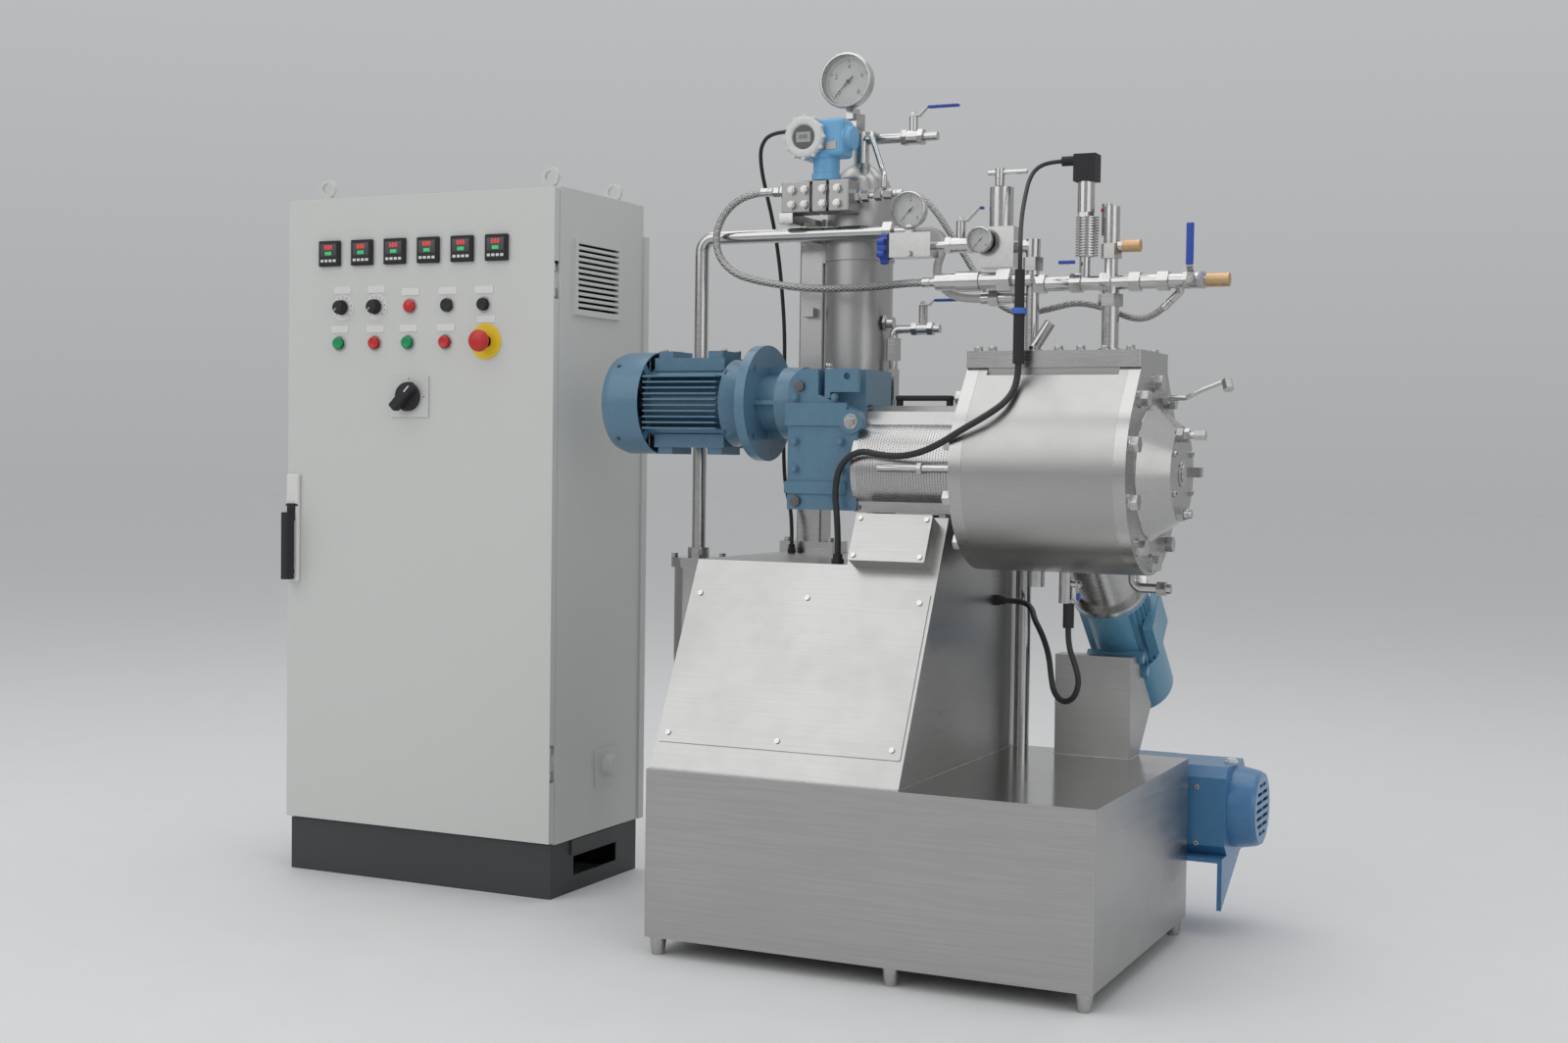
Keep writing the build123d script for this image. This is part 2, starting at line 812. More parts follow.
def make_layshaft():
    left = gearbox_left + 2.5
    with BuildPart() as made:
        rod(facing_right(left, lay_y, lay_z), lay_shaft_radius, gearbox_right - 2.5 - left)
        gear_teeth(
            facing_right(output_gear_x - gear_overlap, lay_y, lay_z),
            lay_pinion_teeth,
            output_module,
            output_gear_width + 2 * gear_overlap,
            lay_angle + 180 + 180 / lay_pinion_teeth,
        )
        seat = facing_right(lay_gear_x, lay_y, lay_z)
        gear_teeth(seat, lay_gear_teeth, motor_module, lay_gear_width, motor_angle)
    return made


def make_paddle_shaft():
    half_right = coupling_left + coupling_length
    far_left = half_right + spider_length
    with BuildPart() as output:
        left = gearbox_left + 2.5
        rod(facing_right(left, shaft_y, shaft_z), output_shaft_radius, half_right - left)
        gear_teeth(
            facing_right(output_gear_x, shaft_y, shaft_z),
            output_teeth,
            output_module,
            output_gear_width,
            lay_angle,
        )
        rod(facing_right(coupling_left, shaft_y, shaft_z), coupling_radius, coupling_length)
    with BuildPart() as spider:
        rod(facing_right(half_right, shaft_y, shaft_z), coupling_radius - 2, spider_length)
    with BuildPart() as mixer:
        rod(facing_right(far_left, shaft_y, shaft_z), coupling_radius, coupling_length)
        rod(facing_right(far_left, shaft_y, shaft_z), mixer_shaft_radius, right_seam - far_left)
        rod(facing_right(right_seam, shaft_y, shaft_z), shaft_seat_radius, 26)
        arms = ((-232, 0), (-208, 180), (-72, 90), (-48, 270), (-212, 90), (-70, 0))
        for x, angle in arms:
            across = spun(facing_right(x, shaft_y, shaft_z), angle)
            out = Plane(origin=across.origin, x_dir=across.z_dir, z_dir=across.x_dir)
            rod(out, 7, blade_reach - 8)
            with BuildSketch(spun(out.offset(blade_reach - 34), 40)):
                Rectangle(30, 5)
            extrude(amount=34 - 4)
    with BuildPart() as made:
        add(output.part)
        add(spider.part)
        add(mixer.part)
    return made


# Lantern, guard and vessel

def make_lantern():
    flange_x_left = gearbox_right
    bars_left = flange_x_left + lantern_flange_thickness
    with BuildPart() as made:
        rod(facing_right(flange_x_left, shaft_y, shaft_z), lantern_flange_radius, lantern_flange_thickness)
        end_plate(plate_left, plate_thickness)
        rod(facing_right(plate_left - 14, shaft_y, shaft_z), 48, 14)
        for y in (-tie_bar_offset, tie_bar_offset):
            for z in (-tie_bar_offset, tie_bar_offset):
                rod(facing_right(bars_left, shaft_y + y, shaft_z + z), tie_bar_radius, plate_left - bars_left)
        stand_y = (shaft_y - 50, shaft_y + 50)
        for x in (-470, -342):
            block((x, x + 12), stand_y, (base_top, shaft_z - tie_bar_offset))
        block((-474, -326), (180, 480), (base_top, base_top + 12))
        rod(facing_right(flange_x_left, shaft_y, shaft_z), 24, 20, Mode.SUBTRACT)
        rod(facing_right(plate_left - 12, shaft_y, shaft_z), 40, bearing_width, Mode.SUBTRACT)
        rod(facing_right(plate_left + 6, shaft_y, shaft_z), 34, plate_thickness - 8, Mode.SUBTRACT)
        rod(facing_right(plate_left - 20, shaft_y, shaft_z), mixer_shaft_radius + 1, 60, Mode.SUBTRACT)
        for y, z in end_bolts:
            drill(facing_left(plate_left, shaft_y + y, shaft_z + z), end_bolt_radius + fit, plate_thickness)
    return made


def guard_profile(inset):
    radius = 87 - inset
    low = gearbox_bottom - 2 - (1 if inset else 0)
    front = shaft_y - math.sqrt(radius**2 - 54**2)
    shoulder = shaft_y - math.sqrt(radius**2 - 74**2)
    top = 904 - inset
    rear = 371 - inset
    with BuildSketch(facing_right(-486, 0, 0)) as profile:
        with BuildLine():
            Line((rear, low), (front, low))
            Line((front, low), (front, shaft_z - 54))
            ThreePointArc((front, shaft_z - 54), (shaft_y - radius, shaft_z), (shoulder, shaft_z + 74))
            Line((shoulder, shaft_z + 74), (shoulder + 12, top - 10))
            Line((shoulder + 12, top - 10), (shoulder + 34, top))
            Line((shoulder + 34, top), (rear, top))
            Line((rear, top), (rear, low))
        make_face()
    return profile.sketch


def make_guard():
    with BuildPart() as guard:
        extrude(guard_profile(0), amount=183)
        extrude(guard_profile(1.5), amount=186, mode=Mode.SUBTRACT)
        block((-490, -479), (gearbox_front - 2, gearbox_rear + 20), (gearbox_bottom - 6, 966), Mode.SUBTRACT)
        rod(facing_front(-490, gearbox_front + 16, 876), 21, 40, Mode.SUBTRACT)
        for x in (-470, -338):
            block((x, x + 8), (shaft_y + 50, 369.5), (727, 731))
    return guard


def make_vessel_body():
    length = right_seam - plate_right
    axis_start = facing_right(plate_right, shaft_y, shaft_z)
    nozzle_half = 40
    with BuildPart() as drum:
        rod(axis_start, bore_radius + drum_wall, length)
        end_plate(plate_right, ring_thickness)
        end_plate(right_seam - ring_thickness, ring_thickness)
        low = shaft_z + bore_radius * 0.6
        neck_x = (neck_left - neck_wall, neck_right + neck_wall)
        neck_y = (shaft_y - neck_half - neck_wall, shaft_y + neck_half + neck_wall)
        block(neck_x, neck_y, (low, vessel_top))
        flat = (shaft_y - vessel_flat_half, shaft_y + vessel_flat_half)
        block((plate_right, right_seam), flat, (vessel_top - top_plate, vessel_top))
        rod(chopper_plane(bore_radius - 10), nozzle_half, 40)
        rod(facing_down(-144, 300, shaft_z - bore_radius), 14, vessel_radius - bore_radius)
        rod(axis_start, bore_radius, length, Mode.SUBTRACT)
        neck_depth = (shaft_y - neck_half, shaft_y + neck_half)
        block((neck_left, neck_right), neck_depth, (low, vessel_top), Mode.SUBTRACT)
        rod(chopper_plane(bore_radius - 20), chopper_nozzle_radius, 80, Mode.SUBTRACT)
        rod(facing_down(-144, 300, shaft_z), 8, 200, Mode.SUBTRACT)
        for y, z in end_bolts:
            spot = facing_right(right_seam, shaft_y + y, shaft_z + z)
            drill(spot, end_bolt_radius + fit, ring_thickness)
            drill(facing_left(plate_right, shaft_y + y, shaft_z + z), end_bolt_radius + fit, ring_thickness)
        for x, y in lid_bolts:
            if plate_right < x < right_seam:
                drill(facing_up(x, y, vessel_top), lid_bolt_radius + fit, top_plate)
    with BuildPart() as skin:
        skin_left = plate_right + ring_thickness
        skin_length = length - 2 * ring_thickness
        end_plate(skin_left, skin_length)
        end_plate(skin_left, skin_length, skin_thickness, Mode.SUBTRACT)
        block((skin_left, 0), (0, 600), (vessel_top - top_plate, vessel_top + 1), Mode.SUBTRACT)
        rod(chopper_plane(bore_radius), nozzle_half, 60, Mode.SUBTRACT)
        rod(facing_down(-144, 300, shaft_z), 14, 200, Mode.SUBTRACT)
    with BuildPart() as both:
        add(drum.part)
        add(skin.part)
    return both


def make_right_end_cover():
    with BuildPart() as cover:
        end_plate(right_seam, -right_seam)
        cone = [(0, cone_base_radius), (2, cone_base_radius), (cone_face_x, cone_face_radius)]
        turned(facing_right(0, shaft_y, shaft_z), cone)
        block((0, 62), (347, 363), (792, 808))
        for y, z in ((253, 858), (264, 735)):
            hexagon(facing_right(cone_face_x, y, z), 22, 10)
        rod(facing_right(right_seam, shaft_y, shaft_z), shaft_seat_radius + 1, 30, Mode.SUBTRACT)
        rod(facing_right(right_seam + 2, shaft_y, shaft_z), output_bearing_radius, 8, Mode.SUBTRACT)
        rod(facing_right(right_seam + 14, shaft_y, shaft_z), output_bearing_radius, 12, Mode.SUBTRACT)
        for y, z in end_bolts:
            drill(facing_right(0, shaft_y + y, shaft_z + z), end_bolt_radius + fit, -right_seam)
        rod(facing_right(-30, 332, 918), 4, 50, Mode.SUBTRACT)
    return cover


def make_vessel_lid():
    with BuildPart() as lid:
        block((plate_left, 0), (lid_front, lid_rear), (vessel_top, vessel_top + lid_height))
        fillet(lid.edges().filter_by(Axis.Z), 3)
        for x, y in lid_bolts:
            drill(facing_up(x, y, vessel_top + lid_height), lid_bolt_radius + fit, lid_height)
        for x, radius in ((left_pipe_x, 8), (right_pipe_x, 11)):
            drill(facing_up(x, line_y, vessel_top + lid_height), radius, lid_height)
    return lid


def make_fasteners():
    with BuildPart() as made:
        for y, z in end_bolts:
            reach = -right_seam + ring_thickness - 1
            seat = facing_right(0, shaft_y + y, shaft_z + z)
            bolt(seat, end_bolt_radius, end_bolt_flats, end_bolt_head, reach, washer_thickness)
            reach = plate_thickness + ring_thickness - 1
            spot = facing_left(plate_left, shaft_y + y, shaft_z + z)
            bolt(spot, end_bolt_radius, end_bolt_flats, end_bolt_head, reach, washer_thickness)
        for x, y in lid_bolts:
            shank = lid_height + (top_plate - 1 if plate_right < x < right_seam else 0)
            bolt(facing_up(x, y, vessel_top + lid_height), lid_bolt_radius, 13, 6, shank - 0.5, 1.5)
        for x, upslope in panel_screws:
            screw(slope_plane(x, upslope).offset(panel_thickness), 2, 4.5, 2.5, panel_thickness + sheet + 4)
        for x, upslope in box_screws:
            screw(slope_plane(x, upslope).offset(terminal_box_height), 2, 4, 2.5, terminal_box_height + 6)
        for y, z in motor_bolts:
            spot = facing_left(flange_x - flange_thickness, shaft_y + y, motor_z + z)
            bolt(spot, 5, 16, 6.5, 2 * flange_thickness - 1)
        for dx in (-43, 43):
            top = gearbox_foot + column_plate_height
            bolt(facing_up(column_x + dx, column_y - 20, top), 4, 13, 6, column_plate_height - 7, 1.5)
    return made


# Chopper and its support

def make_chopper_support():
    with BuildPart() as collar:
        rod(chopper_plane(collar_start), collar_radius, collar_end - collar_start)
        rod(chopper_plane(collar_end - 10), 66, 10)
        rod(facing_right(chopper_x - 100, shaft_y, shaft_z), vessel_radius, 200, Mode.SUBTRACT)
        rod(chopper_plane(bore_radius + 4), chopper_nozzle_radius - 0.3, 60)
        rod(chopper_plane(bore_radius), chopper_shaft_radius + 1, 200, Mode.SUBTRACT)
        rod(chopper_plane(126), 18, 8, Mode.SUBTRACT)
        rod(chopper_plane(150), 20, bearing_width, Mode.SUBTRACT)
        rod(chopper_plane(180), 40, 110, Mode.SUBTRACT)
    start = chopper_plane(0, pedestal_offset)
    out = start.z_dir
    along_top = (start.origin.Z - pedestal_top) / -out.Z
    along_low = (start.origin.Z - pedestal_low) / -out.Z
    top_y = start.origin.Y + along_top * out.Y
    low_y = start.origin.Y + along_low * out.Y
    with BuildPart() as pedestal:
        with BuildSketch(facing_right(pedestal_left, 0, 0)):
            with BuildLine():
                Polyline(
                    (pedestal_front + 4, base_top),
                    (pedestal_front, pedestal_top),
                    (top_y, pedestal_top),
                    (low_y, pedestal_low),
                    (pedestal_back, base_top),
                    close=True,
                )
            make_face()
        extrude(amount=pedestal_right - pedestal_left)
        low_face = pedestal.faces().sort_by(Axis.Z)[0]
        offset(amount=-sheet, openings=low_face)
    with BuildPart() as both:
        add(collar.part)
        add(pedestal.part)
    return both


def make_chopper_motor():
    frame_length = chopper_frame_end - collar_end
    with BuildPart() as motor:
        rod(chopper_plane(collar_end), chopper_frame_radius, frame_length)
        rod(chopper_plane(collar_end), 66, 8)
        for index in range(9):
            across = (index - 4) * 10
            height = math.sqrt(chopper_fan_radius**2 - across**2) - 2
            flat = Plane(
                origin=chopper_plane(collar_end + 14, across).origin,
                x_dir=(1, 0, 0),
                z_dir=chopper_plane(0).z_dir,
            )
            with BuildSketch(flat):
                Rectangle(2 * height, 3)
            extrude(amount=frame_length - 20)
        for distance in (110, 150):
            foot = chopper_plane(collar_end + distance, (chopper_frame_radius - 6 + pedestal_offset) / 2)
            with BuildSketch(foot):
                Rectangle(100, pedestal_offset - chopper_frame_radius + 6)
            extrude(amount=16)
        rod(chopper_plane(collar_end + 14), 50, frame_length - 30, Mode.SUBTRACT)
        rod(chopper_plane(collar_end + 2), 20, bearing_width, Mode.SUBTRACT)
        rod(chopper_plane(chopper_frame_end - 12), 20, bearing_width, Mode.SUBTRACT)
        rod(chopper_plane(collar_end - 1), chopper_shaft_radius + 1, frame_length + 2, Mode.SUBTRACT)
    with BuildPart() as cowl:
        length = chopper_fan_end - chopper_frame_end
        rod(chopper_plane(chopper_frame_end - 8), chopper_fan_radius, length + 8)
        rod(chopper_plane(chopper_frame_end), chopper_fan_radius - 2, length - 2, Mode.SUBTRACT)
        rod(chopper_plane(chopper_frame_end - 9), chopper_frame_radius, 12, Mode.SUBTRACT)
        for angle in range(0, 360, 45):
            with BuildSketch(spun(chopper_plane(chopper_fan_end - 4), angle)):
                with Locations((32, 0)):
                    Rectangle(34, 7)
            extrude(amount=8, mode=Mode.SUBTRACT)
        rod(chopper_plane(chopper_frame_end - 9), chopper_fan_radius - 3, 9, Mode.SUBTRACT)
    with BuildPart() as box:
        middle = chopper_plane(396)
        side = Plane(
            origin=(chopper_x + chopper_fan_radius - 8, middle.origin.Y, middle.origin.Z),
            x_dir=middle.z_dir,
            z_dir=(1, 0, 0),
        )
        plate(side, 80, 80, 14, 5)
        plate(side.offset(14), 76, 76, 3, 4)
        for index in range(9):
            across = (index - 4) * 10
            height = math.sqrt(chopper_fan_radius**2 - across**2) - 2
            flat = Plane(
                origin=chopper_plane(collar_end + 14, across).origin,
                x_dir=(1, 0, 0),
                z_dir=chopper_plane(0).z_dir,
            )
            with BuildSketch(flat):
                Rectangle(2 * height, 3)
            extrude(amount=frame_length - 20, mode=Mode.SUBTRACT)
        rod(chopper_plane(collar_end), chopper_frame_radius, frame_length, Mode.SUBTRACT)
    with BuildPart() as stator:
        tube(chopper_plane(collar_end + 40), 50, 32, 80)
    with BuildPart() as both:
        add(motor.part)
        add(cowl.part)
        add(stator.part)
        add(box.part)
    return both


def make_chopper_rotor():
    start = 94
    with BuildPart() as made:
        rod(chopper_plane(start), chopper_shaft_radius, 462)
        rod(chopper_plane(collar_end + 42), 31, 76)
        for distance, angle in ((start, 0), (start + 9, 90)):
            plate(spun(chopper_plane(distance), angle), 56, 9, 4)
        for angle in (0, 45, 90, 135):
            plate(spun(chopper_plane(chopper_frame_end + 20), angle), 104, 3, 24)
    return made


# Vacuum pump behind the skid

def make_vacuum_pump():
    with BuildPart() as body:
        square = (pump_y - pump_half, pump_y + pump_half)
        tall = (pump_z - pump_half, pump_z + pump_half)
        block((pump_left, pump_split), square, tall)
        chamfer(body.edges().filter_by(Axis.X), 14)
        rod(facing_right(pump_left + 30, pump_y, pump_z), 60, 84, Mode.SUBTRACT)
        rod(facing_right(pump_left + 50, pump_y, pump_z), 9, 100, Mode.SUBTRACT)
        hexagon(facing_left(pump_left, 655, 235), 34, 2)
        rod(facing_left(pump_left + 31, 655, 235), 9, 40, Mode.SUBTRACT)
    with BuildPart() as motor:
        block((pump_split, pump_shoulder), square, tall)
        chamfer(motor.edges().filter_by(Axis.X), 18)
        rod(facing_right(pump_shoulder, pump_y, pump_z), pump_nose_radius + 9, 14)
        turned(
            facing_right(pump_shoulder + 14, pump_y, pump_z),
            [
                (0, pump_nose_radius + 9),
                (26, pump_nose_radius + 4),
                (pump_right - pump_shoulder - 14, pump_nose_radius),
            ],
        )
        rod(facing_right(pump_split + 14, pump_y, pump_z), 60, pump_shoulder - pump_split - 28, Mode.SUBTRACT)
        hollow = pump_right - pump_shoulder - 8
        rod(facing_right(pump_shoulder + 4, pump_y, pump_z), 56, hollow, Mode.SUBTRACT)
        for x in (pump_split + 2, pump_shoulder - 12):
            rod(facing_right(x, pump_y, pump_z), 20, bearing_width, Mode.SUBTRACT)
        rod(facing_right(pump_split - 1, pump_y, pump_z), 9, pump_shoulder - pump_split + 6, Mode.SUBTRACT)
        for row in range(-3, 4):
            height = row * 14
            width = 2 * math.sqrt(50**2 - height**2)
            with BuildSketch(facing_right(pump_right - 6, pump_y, pump_z + height)):
                for column in (-1, 1):
                    with Locations((column * width / 4, 0)):
                        Rectangle(width / 2 - 5, 6)
            extrude(amount=10, mode=Mode.SUBTRACT)
    with BuildPart() as shelf:
        low = pump_z - pump_half
        block((pump_left, pump_shoulder), (base_depth, pump_y + pump_half), (low - shelf_thickness, low))
        for x in (pump_left, pump_shoulder - 8):
            with BuildSketch(facing_right(x, 0, 0)):
                with BuildLine():
                    Polyline(
                        (base_depth, low - shelf_thickness),
                        (pump_y + 50, low - shelf_thickness),
                        (base_depth, low - 90),
                        close=True,
                    )
                make_face()
            extrude(amount=8)
    with BuildPart() as both:
        add(body.part)
        add(motor.part)
        add(shelf.part)
    return both


def make_pump_rotor():
    left = pump_left + 34
    with BuildPart() as made:
        rod(facing_right(left, pump_y, pump_z), 8, 84 + 160)
        for angle in (0, 60, 120):
            with BuildSketch(spun(facing_right(left, pump_y, pump_z), angle)):
                Rectangle(110, 5)
            extrude(amount=70)
        rod(facing_right(pump_split + 34, pump_y, pump_z), 36, 60)
        for angle in (0, 45, 90, 135):
            with BuildSketch(spun(facing_right(pump_shoulder + 16, pump_y, pump_z), angle)):
                Rectangle(100, 3)
            extrude(amount=16)
    return made


# Filter, pipes and valves

def make_filter():
    with BuildPart() as shell:
        outline = [
            (0, 16),
            (24, filter_radius - 6),
            (34, filter_radius),
            (filter_shoulder - filter_bottom, filter_radius),
            (filter_dome - 30 - filter_bottom, filter_radius - 10),
            (filter_dome - 12 - filter_bottom, 34),
            (filter_dome - filter_bottom, riser_radius + 2),
        ]
        turned(facing_up(filter_x, filter_y, filter_bottom), outline)
        inner = [
            (26, filter_radius - 10),
            (36, filter_radius - 3),
            (filter_shoulder - filter_bottom, filter_radius - 3),
            (filter_dome - 34 - filter_bottom, filter_radius - 13),
        ]
        turned(facing_up(filter_x, filter_y, filter_bottom), inner, Mode.SUBTRACT)
        rod(facing_up(filter_x, filter_y, filter_bottom - 1), 9, 40, Mode.SUBTRACT)
        rod(facing_down(filter_x, filter_y, filter_dome + 1), 9, 60, Mode.SUBTRACT)
        column_right = column_x + column_half
        for low, high in ((1169, 1220), (905, 930)):
            tube(facing_up(filter_x, filter_y, low), filter_radius + 3, filter_radius - 1, high - low)
            block((column_right, filter_x - filter_radius + 4), (filter_y - 8, filter_y + 8), (low, high))
        turned(facing_up(-583, 470, 1318), [(0, 8), (16, 8), (16, 10), (24, 10)])
        hexagon(facing_right(filter_x + filter_radius - 2, 480, 1058), 26, 6)
    with BuildPart() as candle:
        tube(facing_up(filter_x, filter_y, 890), 36, 24, 350)
        tube(facing_up(filter_x, filter_y, filter_bottom + 30), 52, 20, 10)
    with BuildPart() as both:
        add(shell.part)
        add(candle.part)
    return both


valve_seats = {
    "gauge": (-502, 500, branch_z),
    "line": (-343, line_y, line_z),
    "filter": (-470, 480, 1046),
}


def make_pipework():
    manifold_y = line_y
    with BuildPart() as made:
        bent_rod(
            [
                (-523, supply_y, supply_z),
                (supply_x, supply_y, supply_z),
                (supply_x, supply_y, receiver_top + 18),
            ],
            supply_radius,
            26,
        )
        hexagon(facing_right(-523, supply_y, supply_z), 32, 17)
        bent_rod(
            [(-480, supply_y, supply_z), (-480, 402, 1200), (-440, 372, 1180), (-440, 340, 1180)],
            6,
            8,
        )
        rod(facing_right(-506, supply_y, supply_z), 8, 40)
        hexagon(facing_right(-478, supply_y, supply_z), 20, 14)
        turned(
            facing_up(supply_x, supply_y, receiver_top - 18),
            [(0, 50), (18, 50), (18, 20), (36, 20)],
        )
        turned(
            facing_up(supply_x, supply_y, base_top - 32),
            [(0, 46), (20, 46), (20, 30), (60, 40), (180, 44), (receiver_top - 18 - base_top + 32, 44)],
        )
        for angle in (0, 90, 180, 270):
            dx = 44 * math.cos(math.radians(angle + 28))
            dy = 44 * math.sin(math.radians(angle + 28))
            hexagon(facing_up(supply_x + dx, supply_y + dy, receiver_top), 12, 7)
        bent_rod(vacuum_route, vacuum_radius, 30)
        rod(facing_up(-308, 556, base_top), 6, 520)
        rod(facing_up(filter_x, filter_y, filter_dome), riser_radius, riser_top - filter_dome)
        hexagon(facing_up(-616, filter_y, riser_top), 34, 32)
        block((-633, filter_x), (filter_y - 16, filter_y + 16), (riser_top - 12, riser_top))
        rod(facing_up(-616, filter_y, riser_top + 32), 7, 4)
        rod(facing_right(filter_x, filter_y, branch_z), 9, valve_seats["gauge"][0] - 21 - filter_x)
        bent_rod(
            [
                (-569, filter_y - 6, branch_z + 6), (-569, 460, branch_z + 6), (-536, 440, 1325),
                (-520, transmitter_y, 1312), (-520, transmitter_y, 1290),
            ],
            5,
            12,
        )
        rod(facing_up(left_pipe_x, line_y, vessel_top + lid_height), 11, 140)
        hexagon(facing_up(left_pipe_x, line_y, 1127), 30, 22)
        rod(facing_up(left_pipe_x, line_y, 1149), 12, 30)
        rod(facing_left(left_pipe_x, line_y, 1168), 11, 27)
        lid_top = vessel_top + lid_height
        rod(facing_up(right_pipe_x, line_y, lid_top), 14, manifold_z - lid_top)
        hexagon(facing_up(right_pipe_x, line_y, 1066), 36, 20)
        rod(Plane(origin=(-202, 285, 996), x_dir=(0, 1, 0), z_dir=(0.55, 0, 0.83)), 9, 52)
        rod(facing_up(-202, 285, 990), 12, 8)
        for x in (left_pipe_x, right_pipe_x):
            rod(facing_up(x, line_y, vessel_top + lid_height), 19, 8)
        rod(facing_right(-211, manifold_y, manifold_z), 12, 246)
        for x in (-211, -150, -100, -52, -6):
            hexagon(facing_right(x, manifold_y, manifold_z), 30, 18)
        rod(facing_right(72 - 3, manifold_y, manifold_z), 7, 3)
        rod(facing_up(-128, manifold_y, manifold_z), 9, 42)
        rod(facing_up(-84, manifold_y, manifold_z), 11, 38)
        for x_pair in ((-390, -368), (-318, -301)):
            rod(facing_right(x_pair[0], line_y, line_z), nipple_radius, x_pair[1] - x_pair[0])
        rod(facing_right(cone_face_x + 10, 253, 858), 5, 30)
        hexagon(facing_right(cone_face_x + 26, 253, 858), 15, 18)
        hexagon(facing_right(0, 332, 918), 17, 12)
        bent_rod([(12, 332, 918), (40, 332, 919), (66, 332, 932), (104, 332, 947)], 4, 8)
        hexagon(Plane(origin=(104, 332, 947), x_dir=(0, 1, 0), z_dir=(0.3, -0.45, -0.84)), 15, 18)
        rod(facing_right(cone_face_x + 10, 264, 735), 7, 12)
        bent_rod([(-40, 330, 639), (-40, 330, 612), (22, 330, 612)], 8, 14)
        hexagon(facing_right(0, 330, 612), 22, 14)
        tube(facing_up(-202 + 8, 300, 609), 13, 4, 26)
        bent_rod([(valve_seats["filter"][0] - 20, 480, 1046), (-526, 480, 1046), (-526, 480, 905)], 8, 12)
        rod(facing_right(-538, 480, 1058), 10, 12)
        hexagon(facing_down(-526, 480, 1030), 24, 40)
        hexagon(facing_down(-526, 480, 975), 20, 55)
        rod(facing_right(valve_seats["filter"][0] + 20, 480, 1046), 8, 12)
        rod(facing_right(-245, 300, 1111), 10, 34)
        rod(facing_right(-305, 322, 1084), 10, 57)
        hexagon(facing_right(-290, 322, 1084), 26, 16)
        rod(facing_right(-248, 322, 1084), 8, 32)
        bent_rod([(10, 342, 1076), (24, 342, 1090), (24, 330, 1100)], 7, 4)
    return made


def ball_valve(seat, length, stem_plane, stem_length, nut_gap, body_radius=13):
    """Ball valve body along X with its stem, and a nut above the lever hub."""
    x, y, z = seat
    rod(facing_right(x - length / 2, y, z), body_radius, length)
    for end in (x - length / 2, x + length / 2 - 10):
        hexagon(facing_right(end, y, z), 2 * body_radius, 10)
    rod(stem_plane, 8, stem_length - nut_gap)
    rod(stem_plane, stem_radius, stem_length)
    hexagon(stem_plane.offset(stem_length), 11, 4)


hub_height = lever_thickness + 0.6


def make_valves():
    gauge = valve_seats["gauge"]
    line = valve_seats["line"]
    low = valve_seats["filter"]
    with BuildPart() as made:
        ball_valve(gauge, 41, facing_up(*gauge), 40, hub_height)
        rod(facing_right(gauge[0] + 20.5, gauge[1], gauge[2]), 8, 26)
        ball_valve(line, 50, facing_up(*line), 42, hub_height)
        ball_valve(low, 40, facing_up(*low), 44, hub_height, 11)
        vent = (52, line_y, manifold_z)
        ball_valve(vent, 34, facing_front(*vent), 28, hub_height)
        block((-464, -390), (line_y - 20, line_y + 20), (1155, 1196))
        rod(facing_up(-432, line_y, 1196), 6, 6)
        rod(facing_left(-464, line_y, 1172), 5, 10)
        hexagon(facing_front(-428, line_y - 20, 1160), 10, 8)
        block((-301, -243), (line_y - 22, line_y + 22), (1133, 1200))
        rod(facing_up(-272, line_y, 1200), 20, 66)
        rod(facing_up(-276, line_y, 1266), 4, 14)
        rod(facing_front(-295, line_y - 22, 1177), 6, 8)
        rod(facing_up(-125, line_y, 1147), 13, 64)
        for index in range(15):
            rod(facing_up(-125, line_y, 1148 + index * 4.4), 19, 1.8)
        hexagon(facing_up(-128, line_y, 1211), 24, 8)
        rod(facing_up(-128, line_y, 1219), 14, 50)
        block((-146, -109), (line_y - 16, line_y + 16), (1269, 1313))
        rod(facing_left(-146, line_y, 1304), 8, 23)
        hexagon(facing_up(-84, line_y, 1143), 30, 24)
        rod(facing_up(-84, line_y, 1167), 13, 60)
        rod(facing_right(-80, line_y, 1163), 9, 16)
        rod(facing_right(-65, line_y, 1163), 10, 29)
        rod(Plane(origin=(-84, line_y, 1194), x_dir=(0, 0, 1), z_dir=(-16, 26, 0)), 6, 30)
        rod(facing_up(-100, line_y + 26, 1183), 9, 52)
        rod(facing_right(72, line_y, manifold_z), 11, 36)
        hexagon(facing_right(-268, 300, 1111), 36, 23)
        rod(facing_right(-377, 300, 1111), 14, 109)
        rod(facing_right(-340, 300, 1111), 17, 40)
        rod(facing_down(-144, 300, shaft_z - vessel_radius), 11, 51)
        rod(facing_right(-144, 300, 615), stem_radius, 22)
    return made


def make_lever(hub, direction, length, rise, width=10.0, plane=None):
    """Flat lever with a hub round a valve stem, a cranked neck and a grip."""
    turn = plane or spun(facing_up(*hub), direction)
    side = Plane(origin=turn.origin, x_dir=turn.x_dir, z_dir=turn.x_dir.cross(turn.z_dir).multiply(-1))
    with BuildPart() as lever:
        rod(turn, 11, lever_thickness)
        half = lever_thickness
        with BuildSketch(side.offset(-width / 2)):
            with BuildLine():
                Polyline(
                    (6, 0),
                    (12, 0),
                    (12 + rise, -rise),
                    (length, -rise),
                    (length, -rise - half),
                    (10 + rise, -rise - half),
                    (10, -half),
                    (6, -half),
                    close=True,
                )
            make_face()
        extrude(amount=width)
        rod(turn.offset(-10), stem_radius + fit, 40, Mode.SUBTRACT)
    return lever


